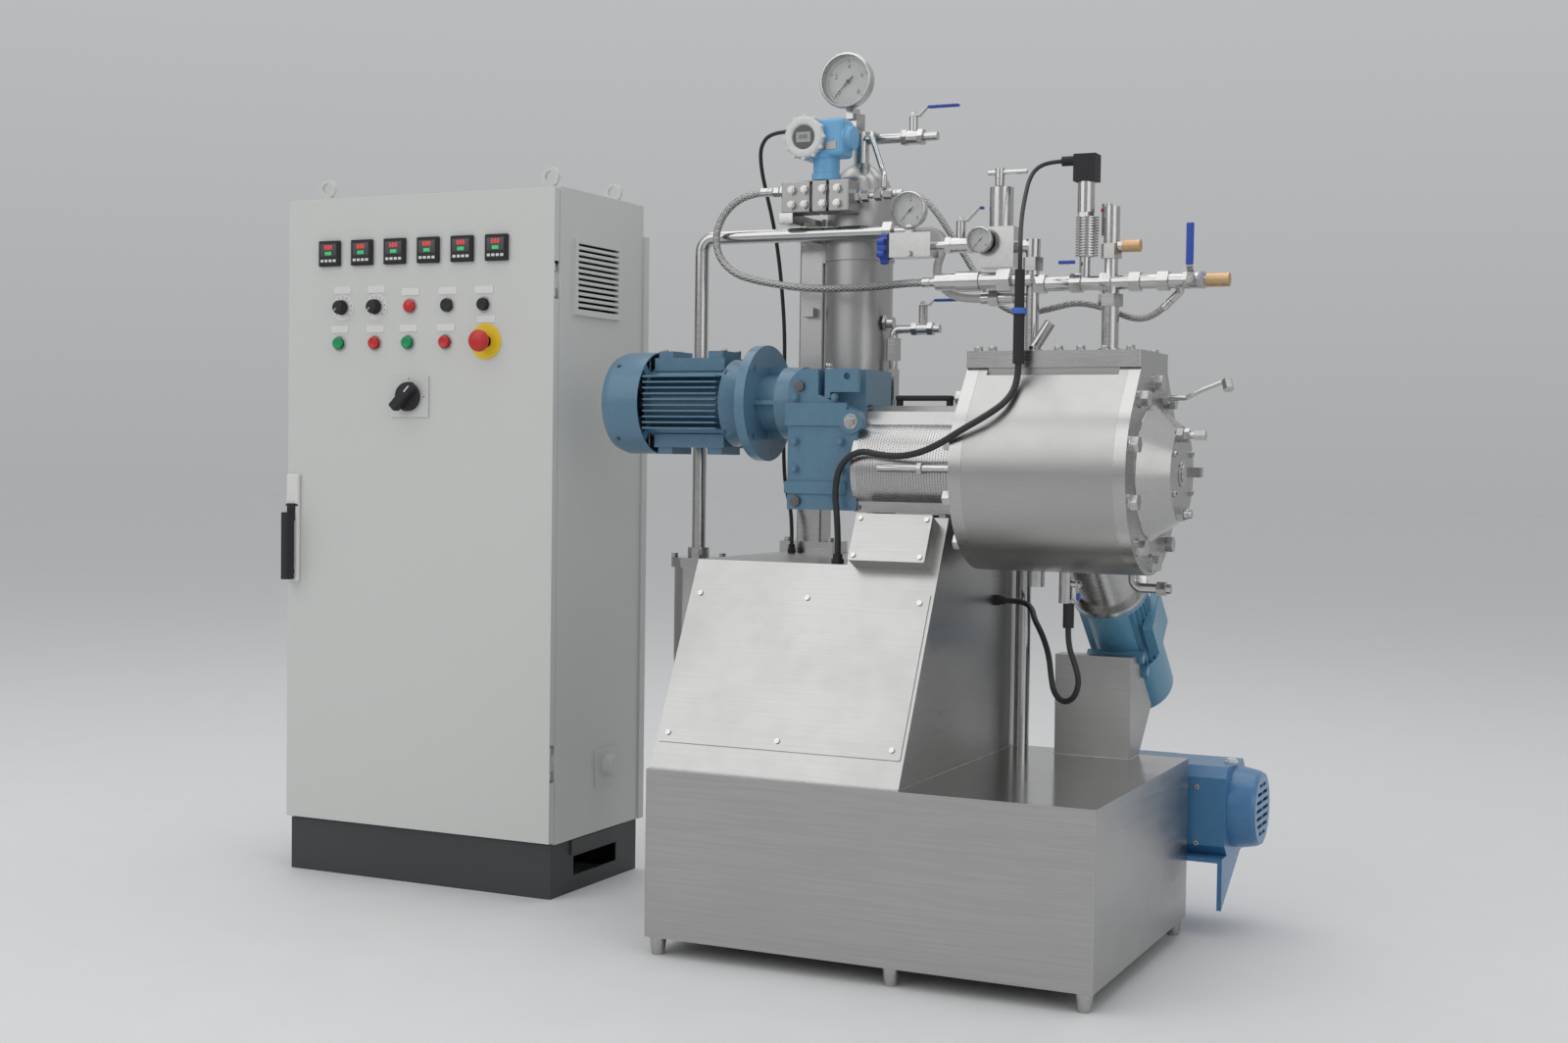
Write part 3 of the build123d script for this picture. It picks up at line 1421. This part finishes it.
def make_knob(plane, radius, bore, thickness, lobes):
    with BuildPart() as knob:
        rod(plane, radius * 0.8, thickness)
        with BuildSketch(plane):
            with PolarLocations(radius * 0.72, lobes):
                Circle(radius * 0.28)
        extrude(amount=thickness)
        rod(plane.offset(-1), bore + fit, thickness - 3, Mode.SUBTRACT)
    return knob


def make_regulator_handle():
    with BuildPart() as handle:
        rod(facing_up(-276, line_y, 1268), 8, 31)
        rod(facing_right(-297, line_y, 1291), 4, 69)
        rod(facing_up(-276, line_y, 1267), 4 + fit, 14.5, Mode.SUBTRACT)
    return handle


# Gauges and the transmitter

gauges = {
    "top": (-614, 470, 1489, 50, 24),
    "line": (-432, 320, 1234, 32, 20),
    "regulator": (-295, 290, 1177, 22, 16),
}


def make_gauge_cases():
    with BuildPart() as made:
        for x, y, z, radius, depth in gauges.values():
            back = facing_front(x, y, z)
            rod(back, radius, depth)
            rod(back.offset(3), radius - 3, depth, Mode.SUBTRACT)
            rod(back.offset(3), 3, 4)
            rod(back.offset(2), 1 + fit, 6, Mode.SUBTRACT)
        block((-623, -609), (470, 507), (1439, 1446))
        line = gauges["line"]
        block((-438, -426), (line[1] - 10, line[1] + 6), (1202, 1210))
    return made


def make_needle(key):
    x, y, z, radius, depth = gauges[key]
    with BuildPart() as needle:
        face = facing_front(x, y - 8, z)
        turn = spun(face, 225)
        rod(facing_front(x, y - 2.3, z), 1, 7)
        rod(face, 3, 1.2)
        with BuildSketch(turn):
            with BuildLine():
                Polyline((-9, -1.2), (radius - 8, -0.3), (radius - 8, 0.3), (-9, 1.2), close=True)
            make_face()
        extrude(amount=1.2)
    return needle


def make_transmitter():
    x, y = transmitter_x, transmitter_y
    with BuildPart() as made:
        rod(facing_back(x, y - 35, 1379), 38, 72)
        with BuildSketch(facing_back(x, y - 42, 1379)):
            Circle(37)
            with PolarLocations(36, 12):
                Circle(4.5)
        extrude(amount=12)
        rod(facing_front(x, y - 42, 1379), 19, 1)
        block((x, x + 73), (y - 26, y + 26), (1345, 1413))
        rod(facing_right(x + 73, y, 1379), 22, 9)
        rod(facing_up(x + 28, y, 1305), 24, 44)
        block((x - 48, x + 82), (y - 25, y + 25), (1248, 1305))
        block((column_x - 14, column_x + 14), (y - 25, y + 25), (1230, 1248))
        rod(facing_left(x - 35, y, 1397), 9, 16)
        hexagon(facing_left(x - 48, y, 1291), 20, 26)
        for dx in (-27, -2, 33, 61):
            hexagon(facing_front(x + dx, y - 25, 1288), 16, 8)
            hexagon(facing_front(x + dx, y - 25, 1262), 16, 8)
        hexagon(facing_right(x + 82, y, 1276), 22, 30)
        rod(facing_right(x + 112, y, 1276), 5, 10)
        hexagon(facing_right(x + 122, y, 1278), 20, 34)
    return made


def make_cable_fittings():
    with BuildPart() as made:
        hexagon(facing_right(cover_right, 457, 572), 18, 8)
        rod(facing_right(cover_right + 8, 457, 572), 7, 8)
        hexagon(facing_up(-505, 196, gearbox_foot), 20, 8)
        rod(facing_up(-505, 196, gearbox_foot + 8), 8, 8)
        hexagon(facing_up(-717, 470, gearbox_foot), 14, 8)
        rod(facing_up(-717, 470, gearbox_foot + 8), 6, 8)
        rod(facing_down(-191, 178, 1116), 8, 60)
        rod(facing_down(-191, 178, 1056), 11, 10)
        rod(facing_down(-191, 178, 1046), 9, 78)
        rod(facing_right(-431, 186, 800), 6, 70)
        hexagon(facing_right(-361, 186, 800), 18, 8)
        rod(facing_right(-353, 186, 800), 6, 52)
        rod(facing_right(-301, 186, 800), 12, 15)
        rod(facing_down(-138, 298, 584), 9, 40)
    return made


# Control cabinet

door_x = (cabinet_left, cabinet_left + cabinet_width)
door_z = (cabinet_bottom + 4, cabinet_top - 4)
door_back = carcass_front - door_gap
hinge_heights = (250, 1130)


def make_cabinet_body():
    left, right = door_x
    with BuildPart() as shell:
        block((left, right), (carcass_front, cabinet_back), (cabinet_bottom, cabinet_top))
        fillet(shell.edges().filter_by(Axis.Z), 3)
        inner_x = (left + cabinet_sheet, right - cabinet_sheet)
        inner_z = (cabinet_bottom + cabinet_sheet, cabinet_top - cabinet_sheet)
        inner_y = (carcass_front + cabinet_sheet, cabinet_back - cabinet_sheet)
        block(inner_x, inner_y, inner_z, Mode.SUBTRACT)
        doorway_z = (inner_z[0] + 20, inner_z[1] - 20)
        block((left + 22, right - 22), (carcass_front - 1, carcass_front + 5), doorway_z, Mode.SUBTRACT)
        for z in hinge_heights:
            block((hinge_x - 5, hinge_x + 1.5), (hinge_y - 4, carcass_front + 1), (z - 15, z + 15))
            rod(facing_up(hinge_x, hinge_y, z - 16), hinge_pin_radius + fit, 32, Mode.SUBTRACT)
        for x in (left + 46, right - 46):
            for y in (carcass_front + 40, cabinet_back - 40):
                rod(facing_up(x, y, cabinet_top), 11, 8)
                with BuildSketch(facing_front(x, y + 4, cabinet_top + 24)):
                    Circle(18)
                    Circle(11, mode=Mode.SUBTRACT)
                extrude(amount=8)
        block((right, right + 6), (314, 481), (1071, 1212))
        for index in range(12):
            z = 1082 + index * 10.5
            block((right - 4, right + 8), (324, 471), (z, z + 5), Mode.SUBTRACT)
        block((right, right + 3), (410, 489), (185, 256))
        rod(facing_right(right, 450, 222), 20, 24)
        lip_z = (cabinet_bottom, cabinet_top - 60)
        block((right - 1, right + 4), (cabinet_back - 4, cabinet_back + 15), lip_z)
    with BuildPart() as plinth:
        block((left + 4, right - 4), (carcass_front - 8, cabinet_back), (0, cabinet_bottom))
        plinth_y = (carcass_front - 5, cabinet_back - 3)
        block((left + 7, right - 7), plinth_y, (-1, cabinet_bottom + 1), Mode.SUBTRACT)
        block((right - 10, right + 2), (342, 500), (30, 66), Mode.SUBTRACT)
        block((right - 4, right), (330, 522), (70, 98))
    with BuildPart() as both:
        add(shell.part)
        add(plinth.part)
    return both


def make_cabinet_equipment():
    left, right = door_x
    with BuildPart() as inside:
        block((left + 50, right - 50), (cabinet_back - 40, cabinet_back - 37), (200, 1220))
        for x in (left + 90, right - 90):
            for z in (240, 1180):
                rod(facing_back(x, cabinet_back - 37, z), 5, 35)
        for x, z, width, height, depth in (
            (left + 180, 560, 130, 240, 150),
            (left + 400, 560, 110, 200, 150),
            (left + 300, 860, 400, 80, 80),
            (left + 300, 320, 420, 50, 50),
        ):
            plate(facing_front(x, cabinet_back - 40, z), width, height, depth, 4)
    return inside


def make_cabinet_door():
    left, right = door_x
    sheet_back = cabinet_front + cabinet_sheet
    with BuildPart() as door:
        block(door_x, (cabinet_front, door_back), door_z)
        inner_x = (left + cabinet_sheet, right - cabinet_sheet)
        inner_z = (door_z[0] + cabinet_sheet, door_z[1] - cabinet_sheet)
        block(inner_x, (sheet_back, door_back + 1), inner_z, Mode.SUBTRACT)
        for z in hinge_heights:
            block((right - 4, right + 1), (sheet_back, door_back + 1), (z - 34, z + 34), Mode.SUBTRACT)
            for side in (-1, 1):
                lug = sorted((z + side * 16, z + side * 30))
                block((hinge_x - 5, hinge_x + 4), (sheet_back, hinge_y + 4), lug)
            rod(facing_up(hinge_x, hinge_y, z - 20), hinge_pin_radius, 40)
        for x in push_xs + (reset_x, stop_x):
            z = upper_row_z if x == reset_x else lower_row_z
            rod(facing_back(x, cabinet_front - 1, z), door_fitting_radius, 10, Mode.SUBTRACT)
        for x, z in [(x, upper_row_z) for x in dial_xs] + [(switch_x, switch_z)]:
            rod(facing_back(x, cabinet_front - 1, z), 4, 10, Mode.SUBTRACT)
        for x in (lamp_x, buzzer_x):
            rod(facing_back(x, cabinet_front - 1, upper_row_z), door_fitting_radius, 10, Mode.SUBTRACT)
        for index in range(6):
            x = controller_x + index * controller_pitch
            cutout_z = (controller_z - 22, controller_z + 22)
            block((x - 22, x + 22), (cabinet_front - 1, sheet_back + 1), cutout_z, Mode.SUBTRACT)
    return door


def make_cabinet_fittings():
    face = cabinet_front
    with BuildPart() as made:
        for index in range(6):
            x = controller_x + index * controller_pitch
            plate(facing_front(x, face, controller_z), controller_size, controller_size, 6, 2)
            plate(facing_back(x, face, controller_z), 44, 44, 12)
            block((x - 20, x + 20), (face - 1, face), (controller_z + 28, controller_z + 42))
        for x in dial_xs + (lamp_x, buzzer_x, reset_x):
            block((x - 20, x + 20), (face - 1, face), (upper_row_z + 20, upper_row_z + 34))
        for x in push_xs:
            block((x - 20, x + 20), (face - 1, face), (lower_row_z + 20, lower_row_z + 34))
        for x in dial_xs:
            tube(facing_front(x, face, upper_row_z), 15, 4, 3)
            tube(facing_back(x, face + cabinet_sheet, upper_row_z), 12, 4, 12)
        for x in (lamp_x, buzzer_x):
            turned(facing_front(x, face, upper_row_z), [(0, 15), (4, 14), (4, 12), (11, 11)])
            rod(facing_back(x, face, upper_row_z), door_fitting_radius, 12)
        for x in push_xs + (reset_x,):
            z = upper_row_z if x == reset_x else lower_row_z
            tube(facing_front(x, face, z), 15, 9.5, 6)
            tube(facing_back(x, face, z), door_fitting_radius, 9.5, 15)
            rod(facing_back(x, face + 15, z), door_fitting_radius, 3)
        tube(facing_front(stop_x, face, lower_row_z), 33, 11, 2)
        tube(facing_front(stop_x, face, lower_row_z).offset(2), 14, 9.5, 3)
        tube(facing_back(stop_x, face, lower_row_z), door_fitting_radius, 9.5, 17)
        rod(facing_back(stop_x, face + 17, lower_row_z), door_fitting_radius, 3)
        plate(facing_front(switch_x, face, switch_z), 87, 77, 8, 4)
        rod(facing_front(switch_x, face + 1, switch_z), 4 + fit, 12, Mode.SUBTRACT)
        tube(facing_back(switch_x, face + cabinet_sheet, switch_z), 20, 4 + fit, 12)
        block((handle_x - 14, handle_x + 14), (face - 16, face), (handle_low, handle_high))
        recess_z = (handle_low + 3, handle_low + 153)
        block((handle_x - 9, handle_x + 9), (face - 17, face - 4), recess_z, Mode.SUBTRACT)
        rod(facing_right(handle_x - 15, face - 10, handle_low + 148), 2 + fit, 30, Mode.SUBTRACT)
    return made


def make_door_handle():
    pivot_z = handle_low + 148
    with BuildPart() as handle:
        width = (handle_x - 8.5, handle_x + 8.5)
        block(width, (cabinet_front - 34, cabinet_front - 10), (handle_low + 5, pivot_z - 14))
        fillet(handle.edges().filter_by(Axis.Z), 5)
        block(width, (cabinet_front - 14, cabinet_front - 6.5), (pivot_z - 30, pivot_z + 3))
        rod(facing_right(handle_x - 13.5, cabinet_front - 10, pivot_z), 2, 27)
    return handle


def make_push_button(x, z):
    with BuildPart() as button:
        rod(facing_front(x, cabinet_front + 9, z), 9.4, 19)
    return button


def make_emergency_stop():
    with BuildPart() as button:
        rod(facing_front(stop_x, cabinet_front + 10, lower_row_z), 9.4, 22)
        turned(
            facing_front(stop_x, cabinet_front - 12, lower_row_z),
            [(0, 14), (4, 19), (14, 20), (20, 17), (23, 10)],
        )
    return button


def make_speed_knob(x):
    with BuildPart() as knob:
        rod(facing_front(x, cabinet_front + 10, upper_row_z), 4 - fit, 16)
        turned(facing_front(x, cabinet_front - 4, upper_row_z), [(0, 12), (2, 12), (3, 10), (16, 9)])
        plate(facing_front(x, cabinet_front - 4, upper_row_z), 5, 24, 15, 2)
    return knob


def make_main_switch():
    face = facing_front(switch_x, cabinet_front - 9, switch_z)
    with BuildPart() as knob:
        rod(facing_front(switch_x, cabinet_front + 12, switch_z), 4, 22)
        rod(face, 27, 12)
        plate(spun(face, 45).offset(10), 18, 62, 24, 7)
    return knob


# Cord routes

transmitter_hose = [
    (-733, 410, 1291), (-779, 410, 1291), (-821, 404, 1268), (-843, 395, 1225), (-835, 388, 1178),
    (-800, 384, 1144), (-753, 382, 1130), (-705, 379, 1121), (-658, 374, 1114), (-609, 366, 1111),
    (-562, 354, 1110), (-515, 338, 1109), (-467, 317, 1110), (-420, 300, 1111), (-377, 300, 1111),
]
vent_hose = [
    (-503, 410, 1278), (-455, 410, 1278), (-420, 408, 1242), (-394, 404, 1205), (-368, 400, 1170),
    (-342, 391, 1133), (-315, 380, 1097), (-281, 368, 1070), (-244, 359, 1059), (-198, 356, 1067),
    (-149, 354, 1078), (-99, 350, 1066), (-48, 345, 1045), (-13, 342, 1053), (10, 342, 1076),
]
corrugated_hose = [
    (-464, 424, 1214), (-444, 424, 1214), (-424, 419, 1209), (-406, 405, 1195), (-398, 381, 1171),
    (-400, 358, 1143), (-390, 341, 1117), (-367, 327, 1095), (-336, 322, 1084), (-305, 322, 1084),
]
sensor_cable = [
    (-169, 320, 1304), (-192, 320, 1304), (-211, 309, 1293), (-216, 290, 1271), (-214, 271, 1249),
    (-212, 253, 1227), (-208, 234, 1206), (-203, 215, 1185), (-197, 196, 1165), (-191, 178, 1143),
    (-191, 178, 1116),
]
loop_cable = [
    (-191, 178, 968), (-191, 178, 938), (-200, 150, 907), (-226, 127, 884), (-263, 119, 862),
    (-300, 123, 840), (-338, 139, 826), (-380, 158, 819), (-422, 173, 821), (-465, 184, 829),
    (-502, 190, 804), (-510, 191, 760), (-506, 193, 720), (-505, 196, 677), (-505, 196, 656),
]
transmitter_cable = [
    (-710, 410, 1397), (-742, 410, 1397), (-768, 422, 1376), (-774, 438, 1340), (-770, 455, 1294),
    (-763, 472, 1240), (-758, 486, 1178), (-756, 498, 1115), (-755, 507, 1052), (-756, 512, 990),
    (-758, 513, 930), (-756, 511, 870), (-752, 505, 812), (-743, 494, 762), (-726, 480, 728),
    (-717, 470, 688), (-717, 470, 656),
]
underside_cable = [
    (-302, 457, 572), (-268, 457, 572), (-243, 431, 563), (-231, 406, 547), (-213, 384, 530),
    (-198, 366, 511), (-186, 351, 488), (-179, 340, 460), (-171, 331, 432), (-149, 314, 419),
    (-126, 298, 429), (-115, 290, 457), (-124, 293, 486), (-138, 298, 516), (-138, 298, 544),
]
cords = {
    "hose_transmitter": (transmitter_hose, 6.5),
    "hose_vent": (vent_hose, 5.5),
    "hose_corrugated": (corrugated_hose, 7.5),
    "cable_sensor": (sensor_cable, 3.5),
    "cable_loop": (loop_cable, 5.5),
    "cable_transmitter": (transmitter_cable, 3.5),
    "cable_underside": (underside_cable, 5),
}


def save_everything():
    os.makedirs("parts", exist_ok=True)
    knob_plane = facing_left(-471, line_y, 1172)
    pieces = {
        "skid_base": make_skid_base(),
        "skid_feet": make_skid_feet(),
        "drive_cover": make_drive_cover(),
        "cover_panel": make_cover_panel(),
        "terminal_box": make_terminal_box(),
        "instrument_column": make_instrument_column(),
        "gearbox_housing": make_gearbox(),
        "bearings_and_seals": make_bearings_and_seals(),
        "motor_housing": make_motor_housing(),
        "motor_rotor": make_motor_rotor(),
        "layshaft": make_layshaft(),
        "paddle_shaft": make_paddle_shaft(),
        "drive_lantern": make_lantern(),
        "coupling_guard": make_guard(),
        "vessel_body": make_vessel_body(),
        "right_end_cover": make_right_end_cover(),
        "vessel_lid": make_vessel_lid(),
        "fasteners": make_fasteners(),
        "chopper_support": make_chopper_support(),
        "chopper_motor": make_chopper_motor(),
        "chopper_rotor": make_chopper_rotor(),
        "vacuum_pump": make_vacuum_pump(),
        "pump_rotor": make_pump_rotor(),
        "filter_vessel": make_filter(),
        "pipework": make_pipework(),
        "valve_bodies": make_valves(),
        "gauge_cases": make_gauge_cases(),
        "pressure_transmitter": make_transmitter(),
        "cable_fittings": make_cable_fittings(),
        "lever_gauge": make_lever((-502, 500, branch_z + 36.7), 0, 86, 14),
        "lever_line": make_lever((-343, line_y, line_z + 38.7), 0, 40, 20),
        "lever_filter": make_lever((-470, 480, 1046 + 40.7), 0, 62, 8),
        "lever_vent": make_lever(
            None, 0, 88, 8, plane=spun(facing_front(52, line_y - 24.7, manifold_z), 90)
        ),
        "lever_drain": make_lever(None, 0, 26, 2, plane=spun(facing_right(-126, 300, 615), -90)),
        "needle_valve_knob": make_knob(knob_plane, 27, 5, 16, 6),
        "regulator_handle": make_regulator_handle(),
        "needle_top_gauge": make_needle("top"),
        "needle_line_gauge": make_needle("line"),
        "needle_regulator_gauge": make_needle("regulator"),
        "cabinet_body": make_cabinet_body(),
        "cabinet_equipment": make_cabinet_equipment(),
        "cabinet_door": make_cabinet_door(),
        "cabinet_fittings": make_cabinet_fittings(),
        "door_handle": make_door_handle(),
        "main_switch_knob": make_main_switch(),
        "speed_knob_mixer": make_speed_knob(dial_xs[0]),
        "speed_knob_chopper": make_speed_knob(dial_xs[1]),
        "button_mixer_start": make_push_button(push_xs[0], lower_row_z),
        "button_mixer_stop": make_push_button(push_xs[1], lower_row_z),
        "button_chopper_start": make_push_button(push_xs[2], lower_row_z),
        "button_chopper_stop": make_push_button(push_xs[3], lower_row_z),
        "button_reset": make_push_button(reset_x, upper_row_z),
        "emergency_stop": make_emergency_stop(),
    }
    for name, piece in pieces.items():
        saved(piece, name)
    for name, (points, radius) in cords.items():
        piece, length, radii = cord(points, radius)
        saved_cord(piece, name, radius, length, radii)


save_everything()
